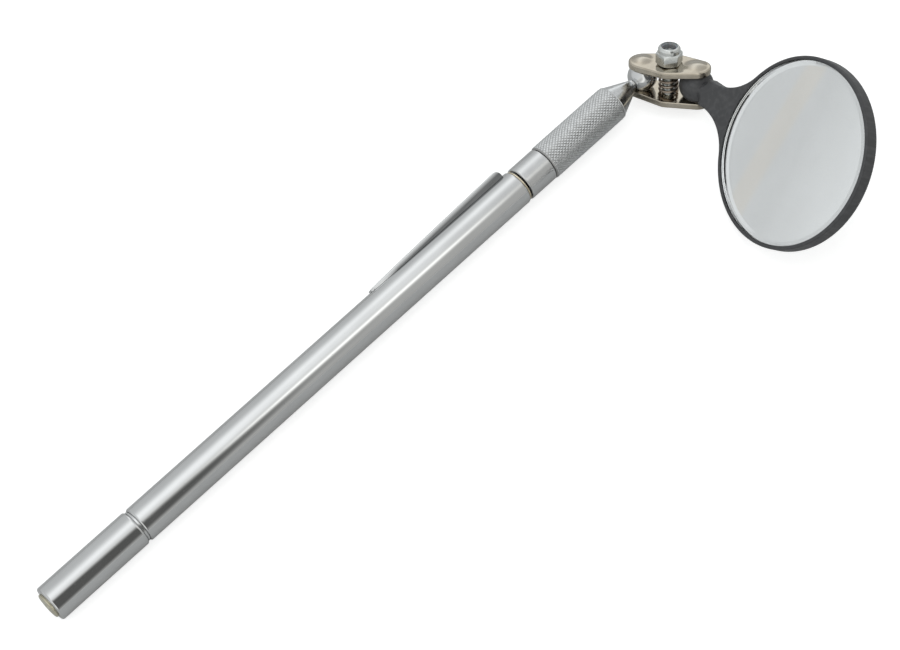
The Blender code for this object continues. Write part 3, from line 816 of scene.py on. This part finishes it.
def make_knurled_sleeve():
    shoulder = ROD_END + 0.2
    bore = ROD_R + FIT
    stud_bore = STUD_R + 0.05
    spigot = COLLAR_START + 1.4
    count = KNURLS * KNURL_STEPS
    step = KNURL_PITCH / KNURL_STEPS
    rows = int((GRIP_END - GRIP_START) / step)
    chamfer = 0.5
    edge = 0.25  # the cone starts this far below the knurl's crests
    knurl_end = GRIP_START + rows * step
    inside = [(spigot, bore), (spigot, SPIGOT_R), (GRIP_START, SPIGOT_R)]
    outside = rounded([(GRIP_END, GRIP_R - KNURL_DEPTH), (GRIP_END, GRIP_R - edge, 0.2),
                       (CONE_END, CONE_TIP_R, 0.08), (CONE_END, stud_bore)], loop=False)
    back = [(shoulder, stud_bore), (shoulder, bore)]

    def row(j):
        x = GRIP_START + j * step
        limit = min(GRIP_R, GRIP_R - chamfer + (x - GRIP_START), GRIP_R - edge + 0.6 * (knurl_end - x))
        heights = [knurl_height(k / KNURL_STEPS, j / KNURL_STEPS)[0] for k in range(count)]
        return ring(x, [min(limit, GRIP_R - KNURL_DEPTH * (1 - height)) for height in heights])

    rings = [ring(x, [r] * count) for x, r in inside]
    first = len(rings)
    rings += [row(j) for j in range(rows + 1)]
    rings += [ring(x, [r] * count) for x, r in outside[1:] + back]
    vertices, faces = skin(rings, loop=True)
    cut = []
    for face in faces:
        j = face[0] // count - first
        if len(face) == 4 and 0 <= j < rows and face[2] // count == face[0] // count + 1:
            k = face[0] % count
            falling = knurl_height((k + 0.5) / KNURL_STEPS, (j + 0.5) / KNURL_STEPS)[1]
            a, b, c, d = face
            cut += [(a, b, d), (b, c, d)] if falling else [(a, b, c), (a, c, d)]
        else:
            cut.append(face)
    sleeve = mesh_object("knurled_sleeve_look", vertices, cut)
    finish_piece(sleeve, "grip", "grip", "knurled_sleeve", "knurled_chrome", crease=24)


def make_grip():
    wall_end = COLLAR_START + 1.2
    face = GRIP_START - 0.3
    bore = ROD_R + FIT
    recess = SPIGOT_R + FIT
    collar = [(COLLAR_START, bore), (COLLAR_START, COLLAR_R, 0.35), (face, COLLAR_R, 0.3), (face, recess),
              (wall_end, recess), (wall_end, bore)]
    turned_piece("sleeve_collar", rounded(collar), "grip", "grip", "satin_chrome", count=160)
    make_knurled_sleeve()
    seat = BALL_R + NECK_GAP
    rim = 180 - asin(STUD_R / seat) * 180 / pi
    hollow = arc((NEAR_BALL, 0), seat, rim, 180, 10)
    hollow[-1] = (NEAR_BALL - seat, 0)
    start = ROD_END + 1.2
    turned_piece("ball_stud", [(start, 0), (start, STUD_R)] + hollow, "grip", "grip", "satin_chrome",
                 count=64)


def sphere_outline(radius, steps):
    outline = arc((0, 0), radius, 180, 0, steps)
    outline[0] = (-radius, 0)
    outline[-1] = (radius, 0)
    return outline


# ------------ clamp
def plate_outline(inset):
    """Rounded diamond: a lobe over each ball and a rounded corner on each side of the stud."""
    corners = ((BALL_PITCH, 0, LOBE_R), (STUD_X, WAIST_HALF - WAIST_R, WAIST_R), (0, 0, LOBE_R),
               (STUD_X, WAIST_R - WAIST_HALF, WAIST_R))
    normals = []
    for (x0, y0, r0), (x1, y1, r1) in zip(corners, corners[1:] + corners[:1]):
        run = hypot(x1 - x0, y1 - y0)
        normals.append(atan2(y1 - y0, x1 - x0) - pi / 2 + asin((r1 - r0) / run))
    bends = []
    for i, (x, y, radius) in enumerate(corners):
        start, end = normals[i - 1], normals[i]
        while end < start:
            end += 2 * pi
        steps = 28 if radius == LOBE_R else 10
        bends.append(arc((x, y), radius - inset, start * 180 / pi, end * 180 / pi, steps))
    points = []
    for bend, following in zip(bends, bends[1:] + bends[:1]):
        points += bend
        (x0, y0), (x1, y1) = bend[-1], following[0]
        points += [(x0 + (x1 - x0) * s, y0 + (y1 - y0) * s) for s in between(0, 1, 12)[1:-1]]
    return points


def plate_top(x, y):
    """Height of a plate's outer face: flat, running smoothly into a dome over each ball."""
    flat = PLATE_GAP / 2 + PLATE + SPLAY * x
    soft = 0.22
    near = sqrt(max(DIMPLE_R ** 2 - x ** 2 - y ** 2, 0.0))
    far = sqrt(max(FAR_DIMPLE_R ** 2 - (x - BALL_PITCH) ** 2 - y ** 2, 0.0))
    dome = max(near, far, flat - 2.0)
    return (flat + dome + sqrt((flat - dome) ** 2 + soft ** 2)) / 2 - soft ** 2 / 8


def make_plate(node, side, body):
    """One clamp plate; side is +1 above the balls and -1 below them."""
    inner = PLATE_GAP / 2
    outer_edge = 0.5
    inner_edge = 0.25
    border = plate_outline(outer_edge)
    rings = []
    for share in between(0, 1, 15):
        points = []
        for x, y in border:
            middle = min(max(x, 0.0), BALL_PITCH)
            px = middle + (x - middle) * share
            py = y * share
            points.append((px, py, side * plate_top(px, py)))
        rings.append(points)
    top = inner + PLATE
    for inset, up in arc((outer_edge, top - outer_edge), outer_edge, 90, 180, 7)[1:]:
        rings.append([(x, y, side * (up + SPLAY * x)) for x, y in plate_outline(inset)])
    rings.append([(x, y, side * (inner + inner_edge + 0.1 + SPLAY * x)) for x, y in plate_outline(0)])
    for inset, up in arc((inner_edge, inner + inner_edge), inner_edge, 180, 270, 5):
        rings.append([(x, y, side * (up + SPLAY * x)) for x, y in plate_outline(inset)])
    rings.append([(x, y, side * (inner + SPLAY * x)) for x, y in plate_outline(inner_edge + 0.06)])
    plate = mesh_object(node + "_look", *skin(rings, caps=(False, True)), merge=True)
    for x, radius in ((0, BALL_R), (BALL_PITCH, FAR_BALL_R)):
        seat = mesh_object("seat", *lathe(sphere_outline(radius + BALL_GAP, 40), axis="Z", count=72,
                                          centre=(x, 0)))
        combine(plate, seat, "DIFFERENCE")
    bore = STUD_BODY_R + FIT
    low, high = sorted((side * (inner - 1), side * (top + 2)))
    hole = [(low, 0), (low, bore), (high, bore), (high, 0)]
    combine(plate, mesh_object("hole", *lathe(hole, axis="Z", count=64, centre=(STUD_X, 0))),
            "DIFFERENCE")
    finish_piece(plate, "clamp", body, node, "plate_nickel")


def nut_seat():
    """Height of the plate's outer face on the higher side of the nut."""
    return PLATE_GAP / 2 + PLATE + SPLAY * (STUD_X + NUT_FLATS / sqrt(3))


def make_stud():
    """The clamp's stud: a low riveted head under the lower plate and an M4 thread above it."""
    outer = nut_seat()
    head = -outer - 0.05
    count = 72
    per_turn = 10
    depth = 0.36
    point = 0.4  # chamfer of the thread's end
    shank = -outer + 0.6
    rows = ceil((STUD_TOP - shank) / THREAD_PITCH * per_turn)

    def circle(z, radii):
        return ring(z, radii, "Z", (STUD_X, 0))

    under = rounded([(head - 1.25, 0), (head - 1.25, 1.15, 0.25), (head - 0.3, 2.15, 0.3), (head, 2.25),
                     (head, STUD_BODY_R)], loop=False)
    rings = [circle(under[0][0], [0])] + [circle(z, [r] * count) for z, r in under[1:]]
    rings.append(circle(shank - 0.05, [STUD_BODY_R] * count))
    for z in between(shank, STUD_TOP, rows):
        point_r = STUD_BODY_R - point + (STUD_TOP - z)
        run_out = min(1.0, (z - shank) / 0.5)
        radii = []
        for k in range(count):
            turn = (z / THREAD_PITCH - k / count) % 1.0
            slope = abs(2 * turn - 1)                 # 1 in the groove, 0 on the crest
            groove = min(1.0, max(0.0, (slope - 0.12) / 0.72))
            radii.append(min(STUD_BODY_R - depth * groove * run_out, point_r))
        rings.append(circle(z, radii))
    rings.append(circle(STUD_TOP, [0]))
    stud = mesh_object("clamp_stud_look", *skin(rings))
    finish_piece(stud, "clamp", "clamp", "clamp_stud", "zinc", crease=45)


def make_nut():
    """Lock nut: a hexagon with turned chamfers and a rolled collar over the nylon insert."""
    outer = nut_seat()
    base = outer + 0.05
    shoulder = base + NUT_HEX
    top = outer + NUT_HEIGHT
    bore = STUD_BODY_R + FIT
    seat_end = shoulder - 0.3
    lip = top - 0.35
    corner = NUT_FLATS / sqrt(3)
    washer = NUT_FLATS / 2 - 0.12
    rise = (corner + 0.1 - washer) * tan(radians(30))
    body = [(base, bore + 0.25), (base, washer), (base + rise, corner + 0.1),
            (shoulder - rise, corner + 0.1), (shoulder, washer), (shoulder, NUT_COLLAR_R + 0.02, 0.1),
            (top - 0.75, NUT_COLLAR_R - 0.02, 0.3), (top - 0.2, NUT_COLLAR_R - 0.38, 0.25),
            (top, NUT_COLLAR_R - 0.8, 0.12), (top, NUT_MOUTH_R, 0.1), (lip, NUT_MOUTH_R),
            (lip, INSERT_R), (seat_end, INSERT_R), (seat_end, bore), (base + 0.25, bore)]
    nut = mesh_object("lock_nut_look", *lathe(rounded(body), axis="Z", count=144))
    sides = [ring(z, [corner] * 6, "Z") for z in (base - 1, top + 1)]
    combine(nut, mesh_object("hexagon", *skin(sides)), "INTERSECT")
    soften = nut.modifiers.new("edges", "BEVEL")
    soften.width = 0.06 * MM
    soften.segments = 2
    soften.limit_method = "ANGLE"
    soften.angle_limit = radians(22)
    apply_modifiers(nut)
    finish_piece(nut, "nut", "nut", "lock_nut", "zinc", crease=22)

    low = seat_end + 0.05
    high = lip - 0.05
    outside = INSERT_R - 0.05
    insert = [(low, bore, 0.1), (low, outside, 0.1), (high, outside, 0.1), (high, bore, 0.15)]
    turned_piece("nut_insert", rounded(insert), "nut", "nut_core", "nylon", axis="Z", count=72)


def make_spring():
    """Compression spring round the stud; its two end turns lie against the plates."""
    per_turn = 44
    sides = 18
    gap = PLATE_GAP + 2 * SPLAY * (STUD_X - SPRING_R - SPRING_WIRE)
    height = gap - 2 * SPRING_WIRE - 0.1
    closed = 0.8
    end_rise = 2.05 * SPRING_WIRE / height
    slices = []
    for k in range(round(SPRING_TURNS * per_turn) + 1):
        turns = k / per_turn
        first = min(turns, closed) / closed
        last = max(turns - (SPRING_TURNS - closed), 0) / closed
        middle = min(max((turns - closed) / (SPRING_TURNS - 2 * closed), 0), 1)
        share = end_rise * (first + last) + (1 - 2 * end_rise) * middle
        angle = 2 * pi * turns
        section = []
        for _, out, up in ring(0, [SPRING_WIRE] * sides):
            reach = SPRING_R + out
            section.append((STUD_X + reach * cos(angle), reach * sin(angle), (share - 0.5) * height + up))
        slices.append(section)
    spring = mesh_object("clamp_spring_look", *skin(slices))
    finish_piece(spring, "clamp", "clamp", "clamp_spring", "spring_steel")


def make_clamp():
    turned_piece("rod_ball", sphere_outline(BALL_R, 64), "near_ball", "near_ball", "chrome", count=96)
    turned_piece("holder_ball", sphere_outline(FAR_BALL_R, 64), "arm", "far_ball", "black_plastic", count=96)
    make_plate("upper_plate", 1, "clamp_top")
    make_plate("lower_plate", -1, "clamp")
    make_stud()
    make_nut()
    make_spring()


# ------------ mirror
def holder_outline(inset):
    """Plan of arm and rim: the arm's waist runs through a hollow curve into the rim on each side."""
    hollow_r = ((ARM - ARM_WAIST) ** 2 + ARM_HALF ** 2 - HOLDER_R ** 2) / (2 * (HOLDER_R - ARM_HALF))
    centre = (ARM_WAIST, ARM_HALF + hollow_r)
    meet = atan2(centre[1], ARM_WAIST - ARM) * 180 / pi
    hollow = arc(centre, hollow_r + inset, -90, meet - 180, 20)
    rim = arc((ARM, 0), HOLDER_R - inset, meet, -meet, 200)
    side = [(ARM_START + inset, ARM_HALF - inset)] + hollow + rim[1:-1]
    lower = [(x, -y) for x, y in reversed([side[0]] + hollow)]
    return side + lower


def make_neck():
    """The arm's end at the ball: round at the ball, flattening into the arm."""
    seat = FAR_BALL_R + NECK_GAP
    count = 64
    hollow = arc((0, 0), seat, 0, asin(NECK_R / seat) * 180 / pi, 8)
    slices = [[(seat, 0, 0)]] + [ring(x, [r] * count) for x, r in hollow[1:]]
    for station in between(4.7, 9.4, 24):
        wide = NECK_R + (4.02 - NECK_R) * ease((station - 4.5) / 1.6)
        thick = NECK_R + (2.1 - NECK_R) * ease((station - 4.8) / 2.6)
        slices.append([(station, wide * y, thick * z) for _, y, z in ring(0, [1] * count)])
    return mesh_object("neck", *skin(slices))


def make_holder():
    half = HOLDER_DEPTH / 2
    edge = HOLDER_EDGE
    levels = [(edge + 0.05, half)] + arc((edge, half - edge), edge, 90, 180, 7) + [(0, half - edge - 0.05)]
    levels += [(inset, -up) for inset, up in reversed(levels)]
    rings = [[(x, y, up) for x, y in holder_outline(inset)] for inset, up in reversed(levels)]
    holder = mesh_object("mirror_holder_look", *skin(rings))
    combine(holder, make_neck(), "UNION")
    pocket_r = HOLDER_R - LIP
    soft = 0.22  # rounding of the lip's inner edge
    pocket = [(POCKET_FLOOR, 0), (POCKET_FLOOR, pocket_r), (half - soft - 0.05, pocket_r)]
    pocket += [(up, reach) for reach, up in arc((pocket_r + soft, half - soft), soft, 180, 90, 5)]
    pocket += [(half + 0.01, pocket_r + soft), (half + 1, pocket_r + soft), (half + 1, 0)]
    combine(holder, mesh_object("pocket", *lathe(pocket, axis="Z", count=192, centre=(ARM, 0))), "DIFFERENCE")
    finish_piece(holder, "arm", "holder", "mirror_holder", "black_plastic")


def make_mirror():
    width, drop = BEVEL
    back = GLASS_FRONT - GLASS
    coating = back - 0.05
    glass = [(GLASS_FRONT, 0), (GLASS_FRONT, GLASS_R - width), (GLASS_FRONT - drop, GLASS_R - 0.07),
             (GLASS_FRONT - drop - 0.09, GLASS_R), (back + 0.08, GLASS_R), (back, GLASS_R - 0.08), (back, 0)]
    far = coating - COATING
    silver = [(coating, 0), (coating, GLASS_R - 0.1), (far, GLASS_R - 0.1), (far, 0)]
    for node, outline, slot in (("mirror_glass", glass, "mirror_glass"),
                                ("silver_backing", silver, "silvering")):
        piece = mesh_object(node + "_look", *lathe(outline, axis="Z", count=240, centre=(ARM, 0)))
        finish_piece(piece, "arm", "holder", node, slot, crease=4)


# ------------ parts kept from the CAD model
def paint_kept_nodes():
    """Hidden turned and flat parts whose CAD shape is right get their finishes."""
    slots = {entry["node"]: entry["material_slot"] for entry in frame["record"]["subparts"]}
    for name, node in frame["nodes"].items():
        if not node.hide_render:
            node.data.materials.clear()
            node.data.materials.append(PAINTS[slots[name]])


# ------------ studio
def make_floor():
    """A pale sheet. Seen straight on it is lit up to near white, as on a light table."""
    size = 6.0
    mesh = bpy.data.meshes.new("floor")
    mesh.from_pydata([(-size, -size, 0), (size, -size, 0), (size, size, 0), (-size, size, 0)], [],
                     [(0, 1, 2, 3)])
    floor = in_scene("floor", mesh)
    floor.location.z = -0.0001
    paint = Paint("floor_sheet", own_mesh=False, specular_ior_level=0.1)
    fibre = paint.noise(paint.place, 300, detail=3)
    paint.finish(fibre, ((0.3, (0.60, 0.605, 0.605)), (0.7, (0.63, 0.635, 0.635))), 0.85, 0.95)
    seen = paint.node("ShaderNodeLightPath").outputs["Is Camera Ray"]
    glow = paint.node("ShaderNodeEmission", {"Color": (1, 1, 1, 1), "Strength": paint.times(seen, 0.7)})
    both = paint.node("ShaderNodeAddShader", {0: paint.shader.outputs[0], 1: glow.outputs[0]})
    paint.feed(paint.tree.nodes["Material Output"].inputs["Surface"], both.outputs[0])
    mesh.materials.append(paint.material)


def make_light():
    """Soft studio light from all round. Roll is a direction's angle about X, from 0 at the far side over the
    top to 180 at the near side.
    """
    world = bpy.data.worlds.new("studio")
    bpy.context.scene.world = world
    world.use_nodes = True
    nodes = Nodes(world.node_tree)
    x, y, z = nodes.split(nodes.node("ShaderNodeTexCoord").outputs["Generated"])
    roll = nodes.times(nodes.math("ARCTAN2", z, y), 180 / pi)
    half_turn = nodes.math("DIVIDE", roll, 180.0)

    def offset_squared(value, centre, width):
        offset = nodes.math("DIVIDE", nodes.math("SUBTRACT", value, centre), width)
        return nodes.times(offset, offset)

    def bell(centre, width):
        return nodes.math("EXPONENT", nodes.times(offset_squared(roll, centre, width), -1.0))

    def window(low, high, fade=0.06):
        opening = nodes.span(x, low, low + fade, smooth=True)
        return nodes.times(opening, nodes.span(x, high, high + fade, 1.0, 0.0, smooth=True))

    # walls, a long box overhead and two short lamps on the grip's side
    level = nodes.ramp(half_turn, ((0.0, 0.66), (0.17, 0.72), (0.33, 0.75), (0.5, 0.8), (0.65, 0.85),
                                   (0.78, 0.6), (1.0, 0.56)))
    box = bell(nodes.math("SUBTRACT", 95.0, nodes.times(x, 110.0)), 22.0)
    level = nodes.plus(level, nodes.times(box, 0.6))
    streak = nodes.times(bell(123.0, 9.0), window(0.155, 0.3))
    level = nodes.plus(level, nodes.times(streak, 0.95))
    lamp = nodes.times(bell(98.0, 15.0), window(0.12, 0.28))
    level = nodes.plus(level, nodes.times(lamp, 0.26))

    # a dark gap on the near side, which the butt end mirrors
    gap_reach = nodes.plus(offset_squared(x, -0.05, 0.3), offset_squared(roll, 144.0, 39.0))
    gap = nodes.span(nodes.math("SQRT", gap_reach), 0.7, 1.12, 1.0, 0.0, smooth=True)
    lit = nodes.times(level, nodes.math("SUBTRACT", 1.0, gap))
    level = nodes.plus(lit, nodes.times(gap, 0.13))

    # what the glass shows, on the butt's side: a wall that brightens on a slant, and a warm batten
    slant = nodes.math("SUBTRACT", z, nodes.times(x, 1.21))
    back = nodes.span(x, -0.42, -0.46)
    veil = nodes.times(nodes.span(slant, 0.828, 0.872, smooth=True), back)
    level = nodes.plus(level, nodes.times(veil, 0.13))
    level = nodes.math("SUBTRACT", level, nodes.times(back, 0.02))
    batten = nodes.times(nodes.span(slant, 0.812, 0.815), nodes.span(slant, 0.8255, 0.8225))
    cool = (0.975, 1.0, 1.005)
    warm = (0.995, 1.0, 0.975)
    tint = nodes.ramp(half_turn, ((0.0, cool), (0.55, (0.985, 1.0, 1.005)), (0.68, warm), (1.0, warm)))
    tint = nodes.blend(nodes.times(batten, back), tint, (1.015, 1.0, 0.955))

    shade = nodes.node("ShaderNodeBackground", {"Color": tint, "Strength": level})
    nodes.feed(world.node_tree.nodes["World Output"].inputs["Surface"], shade.outputs[0])


def make_camera():
    turn = radians(AZIMUTH)
    rise = radians(ELEVATION)
    back = Vector((sin(turn) * cos(rise), -cos(turn) * cos(rise), sin(rise)))
    level = Vector((cos(turn), sin(turn), 0))
    right = Matrix.Rotation(radians(ROLL), 3, back) @ level
    up = back.cross(right)
    data = bpy.data.cameras.new("camera")
    data.lens = LENS
    camera = in_scene("camera", data)
    turned = Matrix((right, up, back)).transposed().to_4x4()
    near = next(joint for joint in frame["joints"] if joint["name"] == "clamp_tilt")["pos_m"]
    place = Vector(near) + (Vector(AIM) + back * DISTANCE) * MM
    camera.matrix_world = Matrix.Translation(place) @ turned
    bpy.context.scene.camera = camera
    bpy.context.scene.view_settings.view_transform = "Standard"


make_handle()
make_clip()
make_telescope()
make_grip()
make_clamp()
make_holder()
make_mirror()
paint_kept_nodes()
make_floor()
make_light()
make_camera()
